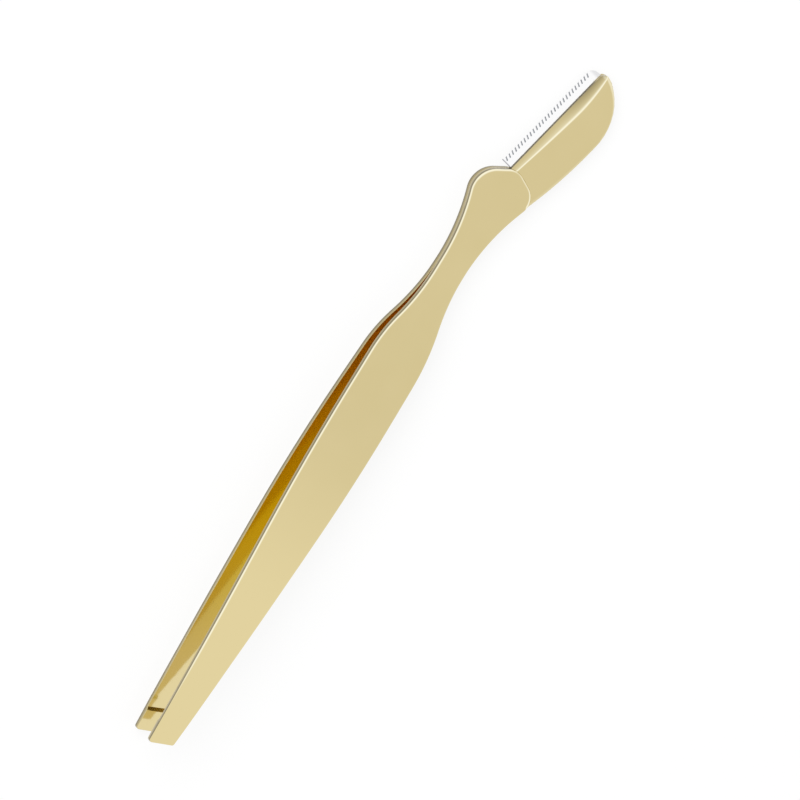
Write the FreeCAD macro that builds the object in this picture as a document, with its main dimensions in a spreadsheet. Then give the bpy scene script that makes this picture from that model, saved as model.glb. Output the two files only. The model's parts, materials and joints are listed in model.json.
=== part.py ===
import FreeCAD, Part
import math
import os

import Sketcher

# A brow tool: slant-tip tweezers with a small fixed razor at their closed head.
# The tool's own frame: the origin is in the head, +X runs to the tweezer tips, the blade edge faces -Y,
# and the mid-plane between the two arms is Z = 0. Lengths are in millimetres and angles in degrees.
# At the end the whole tool is laid down on a flat surface.

DRIVING_SIZES = {
    # Arms: two mirror-image stampings, joined at the head and sprung apart from the waist to the tips.
    "arm_gauge": 1.3,
    "edge_break": 0.3,
    "waist_x": 14.2,
    "waist_blade_half": 2.13,
    "waist_back_half": 2.64,
    "belly_half": 4.73,
    "belly_x": 49.75,
    "belly_radius": 363.0,
    "belly_blade_slope": 0.8,
    "belly_back_slope": 0.0,
    "tip_x": 99.9,
    "tip_half": 1.89,
    "tip_slant": 16.6,
    "tip_corner": 0.4,
    "bow_rise": 3.4,
    "tip_grind_x": 70.0,
    "tip_grind_depth": 0.62,
    "jaw_length": 3.8,
    "jaw_ramp": 0.75,
    "jaw_height": 0.4,
    # Shoulders between the leg's belly and the waist.
    "shoulder_blade_slope": 15.9,
    "shoulder_blade_radius": 26.0,
    "shoulder_back_slope": 13.4,
    "shoulder_back_radius": 41.0,
    "neck_blade_x": 19.22,
    "neck_blade_radius": 34.0,
    "neck_back_x": 18.89,
    "neck_back_radius": 35.5,
    # Rounded head plate.
    "head_neck_blade_x": 7.4,
    "head_neck_blade_slope": 19.0,
    "head_neck_blade_radius": 34.5,
    "head_neck_back_x": 7.4,
    "head_neck_back_slope": 20.9,
    "head_neck_back_radius": 34.5,
    "bulge_side_x": -3.0,
    "bulge_side_y": -2.62,
    "bulge_side_angle": 122.0,
    "bulge_radius": 3.6,
    "crown_radius": 1.7,
    "seam_x": -3.76,
    "seam_y": 1.94,
    "seam_angle": 58.0,
    "seam_corner_radius": 3.4,
    # Razor holder: two cheeks, in a frame turned so that U runs along the blade and V to its edge.
    "razor_turn": 167.0,
    "cheek_thickness": 1.0,
    "cheek_round": 0.25,
    "cheek_edge_v": 1.0,
    "cheek_back_v": 6.48,
    "cheek_end_u": 24.95,
    "cheek_end_radius": 9.5,
    "cheek_nose_radius": 0.7,
    "back_bend_u": 9.7,
    "back_bend_radius": 75.0,
    "end_bend_u": 22.3,
    "horn_u": 1.7,
    "horn_v": 5.4,
    "tang_thickness": 0.35,
    "tang_end_u": 3.6,
    "tang_corner": 0.6,
    "tang_edge_v": 0.6,
    "tang_back_v": 2.6,
    "tang_root_edge_u": 2.6,
    "tang_root_back_u": 2.4,
    "tang_root_back_v": 3.4,
    "bevel_land": 0.75,
    "bevel_width": 1.55,
    "bevel_start_u": 3.4,
    "bevel_middle_u": 14.5,
    "bevel_end_u": 25.0,
    "bevel_half_length": 9.4,
    # Blade, guard foil and pins.
    "blade_thickness": 0.25,
    "blade_start_u": 4.1,
    "blade_length": 18.9,
    "blade_root_v": 3.2,
    "blade_edge_v": 2.78,
    "grind_width": 0.8,
    "edge_thickness": 0.03,
    "guard_foil": 0.1,
    "guard_length": 19.9,
    "guard_root_v": 0.1,
    "guard_fold_v": 2.95,
    "guard_nose_radius": 1.5,
    "slot_width": 0.26,
    "slot_length": 0.85,
    "slot_pitch": 0.66,
    "slot_count": 27,
    "first_slot_u": 4.8,
    "pin_radius": 0.6,
    "pin_length": 1.0,
    "pin_v": 1.6,
    "heel_pin_u": 8.5,
    "nose_pin_u": 19.5,
}

FRONT = 1
REAR = -1
PINS = ("heel_pin", "nose_pin")
TRIM_WIDTH = 16.0
TRIM_MARGIN = 1.0
TRIM_HEIGHT = 40.0

document = FreeCAD.newDocument("brow_tool")


def make_sheet():
    """Put every driving size in the spreadsheet, with its name as the alias."""
    sheet = document.addObject("Spreadsheet::Sheet", "Sizes")
    for row, (name, value) in enumerate(DRIVING_SIZES.items(), start=1):
        sheet.set(f"A{row}", name)
        sheet.set(f"B{row}", str(value))
        sheet.setAlias(f"B{row}", name)
    document.recompute()
    return sheet


sizes = make_sheet()


def size(name):
    return float(sizes.get(name))


def cell(name):
    return f"Sizes.{name}"


def flat(x, y):
    return FreeCAD.Vector(x, y, 0)


def turned(angle):
    """Unit vector in the XY plane at an angle from +X."""
    return flat(math.cos(math.radians(angle)), math.sin(math.radians(angle)))


def crossing(point_a, angle_a, point_b, angle_b):
    """Where two straight lines in the XY plane meet."""
    along_a = turned(angle_a)
    along_b = turned(angle_b)
    gap = point_b - point_a
    spread = along_a.x * along_b.y - along_a.y * along_b.x
    reach = (gap.x * along_b.y - gap.y * along_b.x) / spread
    return point_a + along_a * reach


def rounded_loop(corners):
    """Closed chain of lines and tangent arcs from (point, corner radius) pairs."""
    arcs = []
    for index, (point, radius) in enumerate(corners):
        before = (corners[index - 1][0] - point).normalize()
        after = (corners[(index + 1) % len(corners)][0] - point).normalize()
        half = before.getAngle(after) / 2
        reach = radius / math.tan(half)
        inward = (before + after).normalize()
        middle = point + inward * (radius / math.sin(half) - radius)
        arcs.append((point + before * reach, middle, point + after * reach, radius))
    edges = []
    for index, (start, middle, end, radius) in enumerate(arcs):
        if radius > 0:
            edges.append(Part.Arc(start, middle, end))
        next_start = arcs[(index + 1) % len(arcs)][0]
        if end.distanceToPoint(next_start) > 1e-6:
            edges.append(Part.LineSegment(end, next_start))
    return edges


def polygon(points):
    return [Part.LineSegment(a, b) for a, b in zip(points, points[1:] + points[:1])]


def rectangle(left, low, right, high):
    return polygon([flat(left, low), flat(right, low), flat(right, high), flat(left, high)])


def about_z(angle, height=0):
    """Placement turned about Z and raised."""
    return FreeCAD.Placement(FreeCAD.Vector(0, 0, height), FreeCAD.Rotation(FreeCAD.Vector(0, 0, 1), angle))


def new_body(label):
    body = document.addObject("PartDesign::Body", label)
    body.Label = label
    return body


def new_sketch(body, name, plane, loops, offset=None):
    """Sketch on one of the body's own origin planes, with each loop's ends joined."""
    sketch = body.newObject("Sketcher::SketchObject", name)
    support = next(item for item in body.Origin.OriginFeatures if item.Role == plane)
    sketch.AttachmentSupport = (support, [""])
    sketch.MapMode = "FlatFace"
    if offset:
        sketch.AttachmentOffset = offset
    for loop in loops:
        first = sketch.GeometryCount
        sketch.addGeometry(loop, False)
        join_ends(sketch, first, len(loop))
    return sketch


def join_ends(sketch, first, count):
    """Make the ends of neighbouring edges of one closed loop coincide."""
    for index in range(count):
        here = first + index
        there = first + (index + 1) % count

        def distance(ends):
            return (sketch.getPoint(here, ends[0]) - sketch.getPoint(there, ends[1])).Length

        end, start = min(((1, 1), (1, 2), (2, 1), (2, 2)), key=distance)
        sketch.addConstraint(Sketcher.Constraint("Coincident", here, end, there, start))


def pin_circles(body, name):
    """One circle per locating pin on the body's XY plane, with radius and place bound to the sheet."""
    sketch = new_sketch(body, name, "XY_Plane", [])
    radius = size("pin_radius")
    for pin in PINS:
        centre = flat(size(f"{pin}_u"), -size("pin_v"))
        index = sketch.addGeometry(Part.Circle(centre, FreeCAD.Vector(0, 0, 1), radius), False)
        bind(sketch, Sketcher.Constraint("Radius", index, radius), "pin_radius")
        bind(sketch, Sketcher.Constraint("DistanceX", -1, 1, index, 3, centre.x), f"{pin}_u")
        bind(sketch, Sketcher.Constraint("DistanceY", index, 3, -1, 1, -centre.y), "pin_v")
    return sketch


def bind(sketch, constraint, name):
    index = sketch.addConstraint(constraint)
    sketch.setExpression(f"Constraints[{index}]", cell(name))


def extrude(body, kind, name, sketch, length, symmetric=False, reverse=False):
    """Pad or pocket whose length is an expression on the sheet, or a plain number."""
    feature = body.newObject(f"PartDesign::{kind}", name)
    feature.Profile = sketch
    feature.SideType = "Symmetric" if symmetric else "One side"
    feature.Reversed = reverse
    if isinstance(length, str):
        feature.setExpression("Length", length)
    else:
        feature.Length = length
    document.recompute()
    return feature


def dress_edges(body, kind, name, base, size_name, chosen):
    """Fillet or chamfer on the edges of the base feature that pass the test."""
    edges = [f"Edge{index + 1}" for index, edge in enumerate(base.Shape.Edges) if chosen(edge)]
    dressing = body.newObject(f"PartDesign::{kind}", name)
    dressing.Base = (base, edges)
    dressing.setExpression("Radius" if kind == "Fillet" else "Size", cell(size_name))
    document.recompute()


def samples(edge):
    """Three points along an edge."""
    span = edge.LastParameter - edge.FirstParameter
    return [edge.valueAt(edge.FirstParameter + span * part) for part in (0.1, 0.5, 0.9)]


def bow_radius():
    """The leg's inner face is one long arc that runs parallel to the mid-plane at the tip."""
    length = size("tip_x") - size("waist_x")
    return (length ** 2 + size("bow_rise") ** 2) / (2 * size("bow_rise"))


def bow_height(x, offset):
    """Height above the mid-plane of the bowed face at an offset outwards from the inner face."""
    radius = bow_radius()
    centre = size("bow_rise") - radius
    return centre + math.sqrt((radius + offset) ** 2 - (size("tip_x") - x) ** 2)


def outer_height(x):
    """Height of the leg's outer face: parallel to the inner face, then ground thinner towards the tip."""
    start = size("tip_grind_x")
    share = max(0, x - start) / (size("tip_x") - start)
    return bow_height(x, size("arm_gauge")) - size("tip_grind_depth") * share ** 2


def leg_outline():
    """Plan of a leg: necked waist, rounded shoulders, long taper, slanted tip."""
    waist = size("waist_x")
    belly = size("belly_half")
    taper = math.degrees(math.atan((belly - size("tip_half")) / (size("tip_x") - size("belly_x"))))
    tip = flat(size("tip_x"), -size("tip_half"))
    corners = []
    for side, edge in ((-1, "blade"), (1, "back")):
        start = flat(waist, side * size(f"waist_{edge}_half"))
        neck_corner = flat(size(f"neck_{edge}_x"), start.y)
        slope = size(f"shoulder_{edge}_slope")
        belly_corner = flat(size("belly_x"), side * belly)
        belly_slope = size(f"belly_{edge}_slope")
        shoulder_corner = crossing(neck_corner, side * slope, belly_corner, side * belly_slope)
        tip_corner = crossing(belly_corner, -side * taper, tip, 90 + size("tip_slant"))
        corners.append([
            (start - flat(TRIM_MARGIN, 0), 0),
            (neck_corner, size(f"neck_{edge}_radius")),
            (shoulder_corner, size(f"shoulder_{edge}_radius")),
            (belly_corner, size("belly_radius")),
            (tip_corner, size("tip_corner")),
        ])
    return rounded_loop(corners[0] + corners[1][::-1])


def make_leg(label, side):
    """Spring leg: a bowed strip with a ground tip and a raised jaw, trimmed to the plan outline."""
    waist = size("waist_x")
    tip = size("tip_x")
    rise = size("bow_rise")
    grind = size("tip_grind_x")
    tip_top = outer_height(tip)
    end = tip + TRIM_MARGIN
    middle = (waist + tip) / 2

    def at(x, z):
        return flat(x, side * z)

    def on_top(x):
        return at(x, outer_height(x))

    profile = [
        Part.Arc(at(waist, 0), at(middle, bow_height(middle, 0)), at(tip, rise)),
        Part.LineSegment(at(tip, rise), at(end, rise)),
        Part.LineSegment(at(end, rise), at(end, tip_top)),
        Part.LineSegment(at(end, tip_top), on_top(tip)),
        Part.Arc(on_top(tip), on_top((tip + grind) / 2), on_top(grind)),
        Part.Arc(on_top(grind), on_top((grind + waist) / 2), on_top(waist)),
        Part.LineSegment(on_top(waist), at(waist, 0)),
    ]
    body = new_body(label)
    bow = new_sketch(body, f"{label}_bow", "XZ_Plane", [profile])
    extrude(body, "Pad", f"{label}_strip", bow, TRIM_WIDTH, symmetric=True)

    # The jaw is a raised pad whose step runs parallel to the slanted tip.
    # Its face aims at the waist, so the two jaws meet flat when the legs close.
    jaw_start = -size("jaw_length")
    jaw_face = rise - size("jaw_height")
    jaw_slope = jaw_face / (tip - waist)
    jaw = polygon([
        at(jaw_start - size("jaw_ramp"), rise),
        at(jaw_start, jaw_face + jaw_slope * jaw_start),
        at(TRIM_MARGIN * 2, jaw_face + jaw_slope * TRIM_MARGIN * 2),
        at(TRIM_MARGIN * 2, (rise + tip_top) / 2),
        at(jaw_start - size("jaw_ramp"), (rise + tip_top) / 2),
    ])
    slant = FreeCAD.Placement(flat(tip, 0), FreeCAD.Rotation(FreeCAD.Vector(0, 1, 0), size("tip_slant")))
    jaw_sketch = new_sketch(body, f"{label}_jaw_profile", "XZ_Plane", [jaw], slant)
    extrude(body, "Pad", f"{label}_jaw", jaw_sketch, TRIM_WIDTH, symmetric=True)

    frame = rectangle(waist - TRIM_WIDTH, -TRIM_WIDTH, tip + TRIM_WIDTH, TRIM_WIDTH)
    plan = new_sketch(body, f"{label}_plan", "XY_Plane", [frame, leg_outline()])
    trimmed = extrude(body, "Pocket", f"{label}_trim", plan, TRIM_HEIGHT, symmetric=True)

    def on_outer_rim(edge):
        on_face = all(abs(side * p.z - outer_height(p.x)) < 1e-3 for p in samples(edge))
        return on_face and max(p.x for p in samples(edge)) > waist + 1e-3

    dress_edges(body, "Chamfer", f"{label}_rim", trimmed, "edge_break", on_outer_rim)
    return body


def head_outline():
    """Plan of the head plate: two neck curves, a bulge, a crown and a slanted end over the holder."""
    waist = size("waist_x")
    blade_slope = size("head_neck_blade_slope")
    back_slope = size("head_neck_back_slope")
    blade_start = flat(waist, -size("waist_blade_half"))
    back_start = flat(waist, size("waist_back_half"))
    blade_neck = flat(size("head_neck_blade_x"), blade_start.y)
    back_neck = flat(size("head_neck_back_x"), back_start.y)
    bulge_side = flat(size("bulge_side_x"), size("bulge_side_y"))
    seam_side = flat(size("seam_x"), size("seam_y"))
    bulge = crossing(blade_neck, blade_slope, bulge_side, size("bulge_side_angle"))
    crown = crossing(bulge_side, size("bulge_side_angle"), seam_side, size("seam_angle"))
    seam = crossing(seam_side, size("seam_angle"), back_neck, -back_slope)
    return rounded_loop([
        (blade_start, 0),
        (blade_neck, size("head_neck_blade_radius")),
        (bulge, size("bulge_radius")),
        (crown, size("crown_radius")),
        (seam, size("seam_corner_radius")),
        (back_neck, size("head_neck_back_radius")),
        (back_start, 0),
    ])


def make_head_plate(label, side):
    """Head of one arm: flat plate with a shallow seat inside for the holder's tang."""
    body = new_body(label)
    plan = new_sketch(body, f"{label}_plan", "XY_Plane", [head_outline()])
    extrude(body, "Pad", f"{label}_plate", plan, cell("arm_gauge"), reverse=side == REAR)
    in_razor_frame = about_z(size("razor_turn"))
    seat = new_sketch(body, f"{label}_seat", "XY_Plane", [cheek_outline()], in_razor_frame)
    extrude(body, "Pocket", f"{label}_tang_seat", seat, cell("tang_thickness"), reverse=side == FRONT)

    # The heel of the blade and its guard needs a small relief beside the tang.
    start = size("blade_start_u") - size("guard_foil")
    far = start + TRIM_MARGIN
    low = size("cheek_edge_v") - size("guard_foil")
    high = size("guard_fold_v") + size("guard_foil")
    heel = rectangle(start, low, far, high)
    relief = new_sketch(body, f"{label}_heel_plan", "XY_Plane", [heel], in_razor_frame)
    depth = f"{cell('blade_thickness')} / 2 + {cell('guard_foil')}"
    seated = extrude(body, "Pocket", f"{label}_heel_relief", relief, depth, reverse=side == FRONT)

    def on_outer_rim(edge):
        on_face = all(abs(side * p.z - size("arm_gauge")) < 1e-3 for p in samples(edge))
        return on_face and min(p.x for p in samples(edge)) < size("waist_x") - 1e-3

    dress_edges(body, "Chamfer", f"{label}_rim", seated, "edge_break", on_outer_rim)
    return body


def cheek_outline():
    """Plan of a holder cheek in the razor's frame: tang, back edge, round end, nose and blade side."""
    back = -size("cheek_back_v")
    edge = size("cheek_edge_v")
    tang_end = -size("tang_end_u")
    return rounded_loop([
        (flat(size("horn_u"), -size("horn_v")), 0),
        (flat(size("back_bend_u"), back), size("back_bend_radius")),
        (flat(size("end_bend_u"), back), size("cheek_end_radius")),
        (flat(size("cheek_end_u"), edge), size("cheek_nose_radius")),
        (flat(size("tang_root_edge_u"), edge), 0),
        (flat(tang_end, size("tang_edge_v")), size("tang_corner")),
        (flat(tang_end, -size("tang_back_v")), size("tang_corner")),
        (flat(size("tang_root_back_u"), -size("tang_root_back_v")), 0),
    ])


def bevel_inset(u):
    """How far the bevel runs in from the blade side: widest in the middle, a parabola."""
    share = (u - size("bevel_middle_u")) / size("bevel_half_length")
    return size("bevel_width") - share ** 2


def make_cheek(label, side):
    """One side of the razor holder: a plate with a thin tang, a long curved bevel and blade recesses."""
    thickness = size("cheek_thickness")
    land = size("bevel_land")
    edge = size("cheek_edge_v")
    body = new_body(label)
    plan = new_sketch(body, f"{label}_plan", "XY_Plane", [cheek_outline()])
    plate = extrude(body, "Pad", f"{label}_plate", plan, cell("cheek_thickness"), reverse=side == REAR)

    def on_outer_rim(candidate):
        points = samples(candidate)
        on_face = all(abs(side * p.z - thickness) < 1e-3 for p in points)
        return on_face and all(p.x > size("horn_u") + 0.1 and p.y < edge - 0.05 for p in points)

    dress_edges(body, "Fillet", f"{label}_rim", plate, "cheek_round", on_outer_rim)

    # The plate is cut back to the tang under the head plate, so the two meet along the head's outline.
    in_tool_frame = about_z(-size("razor_turn"), side * size("tang_thickness"))
    seam = new_sketch(body, f"{label}_seam", "XY_Plane", [head_outline()], in_tool_frame)
    extrude(body, "Pocket", f"{label}_shoulder", seam, cell("cheek_thickness"), reverse=side == FRONT)

    sections = []
    for u in (size("bevel_start_u"), size("bevel_middle_u"), size("bevel_end_u")):
        run = flat(-bevel_inset(u), thickness - land)
        low = flat(edge, land) - run * 0.4
        high = flat(edge, land) + run * 1.4
        corners = [flat(p.x, side * p.y) for p in (low, high, flat(low.x + 0.5, high.y))]
        name = f"{label}_bevel_{len(sections)}"
        sections.append(new_sketch(body, name, "YZ_Plane", [polygon(corners)], about_z(0, u)))
    bevel = body.newObject("PartDesign::SubtractiveLoft", f"{label}_bevel")
    bevel.Profile = sections[0]
    bevel.Sections = sections[1:]
    document.recompute()

    start = size("blade_start_u")
    blade_end = start + size("blade_length")
    guard_end = start + size("guard_length")
    out = edge + TRIM_MARGIN
    blade_bed = rectangle(start, -size("blade_root_v"), blade_end, out)
    guard_bed = rectangle(start, size("guard_root_v"), guard_end, out)
    for bed_name, bed, depth in (
        ("blade_bed", blade_bed, f"{cell('blade_thickness')} / 2"),
        ("guard_bed", guard_bed, f"{cell('blade_thickness')} / 2 + {cell('guard_foil')}"),
    ):
        bed_sketch = new_sketch(body, f"{label}_{bed_name}_plan", "XY_Plane", [bed])
        extrude(body, "Pocket", f"{label}_{bed_name}", bed_sketch, depth, reverse=side == FRONT)
    holes = pin_circles(body, f"{label}_pin_plan")
    extrude(body, "Pocket", f"{label}_pin_holes", holes, f"{cell('pin_length')} / 2", reverse=side == FRONT)
    return body


def make_blade(label):
    """Steel strip with a ground edge and two locating holes."""
    half = size("blade_thickness") / 2
    edge = size("blade_edge_v")
    grind = edge - size("grind_width")
    point = size("edge_thickness") / 2
    root = -size("blade_root_v")
    section = polygon([
        flat(root, -half),
        flat(grind, -half),
        flat(edge, -point),
        flat(edge, point),
        flat(grind, half),
        flat(root, half),
    ])
    body = new_body(label)
    start = about_z(0, size("blade_start_u"))
    section_sketch = new_sketch(body, f"{label}_section", "YZ_Plane", [section], start)
    extrude(body, "Pad", f"{label}_strip", section_sketch, cell("blade_length"))
    holes = pin_circles(body, f"{label}_hole_plan")
    extrude(body, "Pocket", f"{label}_holes", holes, TRIM_HEIGHT, symmetric=True)
    return body


def make_guard(label):
    """Foil folded over the blade's edge, with a row of slots cut through the fold."""
    inner = size("blade_thickness") / 2
    outer = inner + size("guard_foil")
    root = size("guard_root_v")
    fold = size("guard_fold_v") - outer
    section = [
        Part.LineSegment(flat(root, -outer), flat(fold, -outer)),
        Part.Arc(flat(fold, -outer), flat(fold + outer, 0), flat(fold, outer)),
        Part.LineSegment(flat(fold, outer), flat(root, outer)),
        Part.LineSegment(flat(root, outer), flat(root, inner)),
        Part.LineSegment(flat(root, inner), flat(fold, inner)),
        Part.Arc(flat(fold, inner), flat(fold + inner, 0), flat(fold, -inner)),
        Part.LineSegment(flat(fold, -inner), flat(root, -inner)),
        Part.LineSegment(flat(root, -inner), flat(root, -outer)),
    ]
    body = new_body(label)
    start_u = size("blade_start_u")
    section_sketch = new_sketch(body, f"{label}_section", "YZ_Plane", [section], about_z(0, start_u))
    extrude(body, "Pad", f"{label}_fold", section_sketch, cell("guard_length"))

    # The nose end of the foil is rounded off in plan.
    end = start_u + size("guard_length")
    radius = size("guard_nose_radius")
    top = size("guard_fold_v")
    centre = flat(end - radius, top - radius)
    side = centre + flat(radius, 0)
    crest = centre + flat(0, radius)
    outside = centre + flat(radius + TRIM_MARGIN, radius + TRIM_MARGIN)
    corner = [
        Part.Arc(side, centre + turned(45) * radius, crest),
        Part.LineSegment(crest, flat(crest.x, outside.y)),
        Part.LineSegment(flat(crest.x, outside.y), outside),
        Part.LineSegment(outside, flat(outside.x, side.y)),
        Part.LineSegment(flat(outside.x, side.y), side),
    ]
    corner_sketch = new_sketch(body, f"{label}_corner_plan", "XY_Plane", [corner])
    extrude(body, "Pocket", f"{label}_corner", corner_sketch, TRIM_HEIGHT, symmetric=True)

    half = size("slot_width") / 2
    first = size("first_slot_u")
    slot = rectangle(first - half, top - size("slot_length"), first + half, top + TRIM_MARGIN)
    slot_sketch = new_sketch(body, f"{label}_slot_plan", "XY_Plane", [slot])
    first_slot = extrude(body, "Pocket", f"{label}_first_slot", slot_sketch, TRIM_HEIGHT, symmetric=True)
    slots = body.newObject("PartDesign::LinearPattern", f"{label}_slots")
    slots.Originals = [first_slot]
    slots.Direction = (next(item for item in body.Origin.OriginFeatures if item.Role == "X_Axis"), [""])
    slots.setExpression("Length", f"{cell('slot_pitch')} * ({cell('slot_count')} - 1)")
    slots.setExpression("Occurrences", cell("slot_count"))
    body.Tip = slots
    document.recompute()
    return body


def make_pin(label):
    """Plain pin that passes through the blade into both cheeks."""
    pin = document.addObject("Part::Cylinder", label)
    pin.Label = label
    pin.setExpression("Radius", cell("pin_radius"))
    pin.setExpression("Height", cell("pin_length"))
    return pin


def lie_angle():
    """Tilt at which the razor's nose and the bow of the rear leg both touch a flat surface."""
    radius = bow_radius() + size("arm_gauge")
    nose_x = turned(size("razor_turn")).x * size("cheek_end_u")
    reach = size("tip_x") - nose_x
    drop = size("bow_rise") + size("arm_gauge") - size("cheek_thickness")
    touch = reach - math.sqrt(reach ** 2 - 2 * radius * drop)
    return math.degrees(math.asin(touch / radius))


def place_all(homes, frame):
    for part, home in homes:
        part.Placement = frame.multiply(home)
    document.recompute()


def lay_down(homes):
    """Tilt the tool to its resting pose, stand it on Z = 0 and centre its footprint on the origin."""
    tilt = FreeCAD.Placement(flat(0, 0), FreeCAD.Rotation(FreeCAD.Vector(0, 1, 0), -lie_angle()))
    place_all(homes, tilt)
    box = Part.makeCompound([part.Shape for part, home in homes]).optimalBoundingBox(False, False)
    shift = FreeCAD.Vector(-box.Center.x, -box.Center.y, -box.ZMin)
    lie = FreeCAD.Placement(shift, FreeCAD.Rotation()).multiply(tilt)
    place_all(homes, lie)
    hinge = lie.multVec(flat(size("waist_x"), 0))
    print("lie angle", round(lie_angle(), 4), "shift", shift, "hinge line at", hinge)
    print("overall size", [round(length, 2) for length in (box.XLength, box.YLength, box.ZLength)])


def check_and_write(parts):
    for item in document.Objects:
        if "Invalid" in item.State or "Error" in item.State:
            raise RuntimeError(f"{item.Label} failed: {item.State}")
    for part in parts:
        if part.Shape.isNull() or not part.Shape.isValid():
            raise RuntimeError(f"{part.Label} has no valid shape")
    os.makedirs("parts", exist_ok=True)
    for part in parts:
        part.Shape.exportStep(f"parts/{part.Label}.step")
        print(part.Label, "solids", len(part.Shape.Solids), "volume", round(part.Shape.Volume, 3))


def pin_home(pin):
    return FreeCAD.Placement(
        FreeCAD.Vector(size(f"{pin}_u"), -size("pin_v"), -size("pin_length") / 2), FreeCAD.Rotation())


tool_frame = FreeCAD.Placement()
razor_frame = about_z(size("razor_turn"))
homes = [
    (make_head_plate("front_head_plate", FRONT), tool_frame),
    (make_leg("front_spring_leg", FRONT), tool_frame),
    (make_head_plate("rear_head_plate", REAR), tool_frame),
    (make_leg("rear_spring_leg", REAR), tool_frame),
    (make_cheek("front_holder_cheek", FRONT), razor_frame),
    (make_cheek("rear_holder_cheek", REAR), razor_frame),
    (make_blade("razor_blade"), razor_frame),
    (make_guard("blade_guard"), razor_frame),
]
for pin in PINS:
    homes.append((make_pin(pin), razor_frame.multiply(pin_home(pin))))
lay_down(homes)
check_and_write([part for part, home in homes])
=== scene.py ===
import json
import math

import bpy
import numpy as np
from mathutils import Matrix, Vector


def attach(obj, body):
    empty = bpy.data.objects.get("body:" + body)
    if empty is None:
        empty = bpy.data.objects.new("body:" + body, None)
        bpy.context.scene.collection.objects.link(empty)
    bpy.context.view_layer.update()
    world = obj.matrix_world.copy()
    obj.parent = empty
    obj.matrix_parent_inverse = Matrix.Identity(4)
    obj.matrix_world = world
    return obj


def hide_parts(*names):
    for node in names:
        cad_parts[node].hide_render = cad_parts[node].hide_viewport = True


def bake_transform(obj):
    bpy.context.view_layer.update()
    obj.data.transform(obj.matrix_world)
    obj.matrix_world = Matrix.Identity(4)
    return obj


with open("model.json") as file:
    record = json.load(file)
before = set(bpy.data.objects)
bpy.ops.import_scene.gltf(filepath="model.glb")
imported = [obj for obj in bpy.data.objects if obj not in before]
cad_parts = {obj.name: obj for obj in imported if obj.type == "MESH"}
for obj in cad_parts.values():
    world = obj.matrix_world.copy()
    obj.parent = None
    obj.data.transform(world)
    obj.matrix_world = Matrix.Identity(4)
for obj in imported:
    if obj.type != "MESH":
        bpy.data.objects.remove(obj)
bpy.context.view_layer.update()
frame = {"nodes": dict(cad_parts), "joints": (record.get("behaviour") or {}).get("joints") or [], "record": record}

# Brow tool: slant-tip tweezers with a small guarded razor in their closed head.
# Shapes are worked out in the tool's own frame, in millimetres: the origin is in the head, +X runs to the
# tweezer tips, the blade edge faces -Y and the mid-plane between the arms is Z = 0.
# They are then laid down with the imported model, whose hinge line and head face give the resting pose.

FRONT = 1
REAR = -1

# Arms. A fade is where it starts and how far it runs along X.
GAUGE = 1.3
HEAD_END_X = 4.0
WAIST_X = 14.2
TIP_X = 99.9
TIP_HALF = 1.89
TIP_ANGLE = 19.5
TIP_SLANT = math.tan(math.radians(TIP_ANGLE))
BOW_RISE = 3.4
BOW_SOFTENING = 2.5
GRIND_X = 70.0
GRIND_DEPTH = 0.62
JAW_HALF_GAP = 3.0
JAW_RAMP = (95.86, 96.4)
TILT_X = 84.0
TILT_GAIN = 0.0065
OUTER_ROUND = 0.3
TIP_ROUND = 0.1
HOLDER_EXTRA_ROUND = 0.12
INNER_ROUND = 0.09
HEAD_GAP = 0.005
SLANT_FADE = (80, 13)
RIM_FADE = (82, 14)
# Painted light: the outer faces are painted paler towards the tips over this fade.
TIP_LIGHT_FADE = (40, 35)
# Painted bounce light: a deeper gold on the inner faces, fading out over this run towards the tips.
BOUNCE_GOLD_FADE = (56, 34)

# Razor holder, in a frame turned so that U runs along the blade and V to its edge.
RAZOR_TURN = math.radians(167)
CHEEK_THICKNESS = 1.0
CHEEK_EDGE_V = 1.0
CHEEK_ROUND = 0.25
NOSE_ROUND = 0.6
NOSE_DROP = 0.4
SEAM_ROUND = 0.05
BEVEL_LAND = 0.56
BEVEL_WIDTH = 1.53
BEVEL_WIDEST_U = 17.8
BEVEL_LEAST_WIDTH = 0.15
BEVEL_RUN_TO_HEAD, BEVEL_LOSS_TO_HEAD = 12.8, 0.69
BEVEL_RUN_TO_NOSE, BEVEL_LOSS_TO_NOSE = 4.7, 0.35
CREST_SOFTENING = 0.03
# Widths of the painted highlight along the bevel's crest, on the face and on the bevel.
CREST_SHINE_ON_FACE, CREST_SHINE_ON_BEVEL = 0.04, 0.08

# Guard foil.
FOIL = 0.1
FOLD_RADIUS = 0.175
FOLD_V = 2.95
FOIL_ROOT_V = 0.1
FOIL_START_U = 4.1
FOIL_END_U = 24.0
FOIL_CORNER = 1.5
SLOT_WIDTH = 0.26
SLOT_LENGTH = 0.75
SLOT_BEND = 0.25
SLOT_PITCH = 0.66
SLOT_COUNT = 28
FIRST_SLOT_U = 4.8

hinge = Vector(frame["joints"][0]["pos_m"])
head_mount = next(m for m in frame["record"]["mounts"] if m["name"] == "head_front_face")
lie_z = Vector(head_mount["axis"]).normalized()
lie_x = Vector((0, 1, 0)).cross(lie_z)


def laid_down(points):
    """Points of the tool's own frame, in millimetres, as points of the resting model, in metres."""
    turn = np.array([lie_x, (0, 1, 0), lie_z])
    return np.array(hinge) + (np.asarray(points, float) - (WAIST_X, 0, 0)) @ turn / 1000


def from_razor(u, v):
    """Razor frame to the tool's own frame, in plan."""
    cos, sin = math.cos(RAZOR_TURN), math.sin(RAZOR_TURN)
    return u * cos - v * sin, u * sin + v * cos


def to_razor(x, y):
    cos, sin = math.cos(RAZOR_TURN), math.sin(RAZOR_TURN)
    return x * cos + y * sin, y * cos - x * sin


def smooth(share):
    share = np.clip(share, 0, 1)
    return share * share * (3 - 2 * share)


def faded(x, fade):
    """0 up to where the fade starts, 1 from where it ends."""
    return smooth((x - fade[0]) / fade[1])


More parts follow.
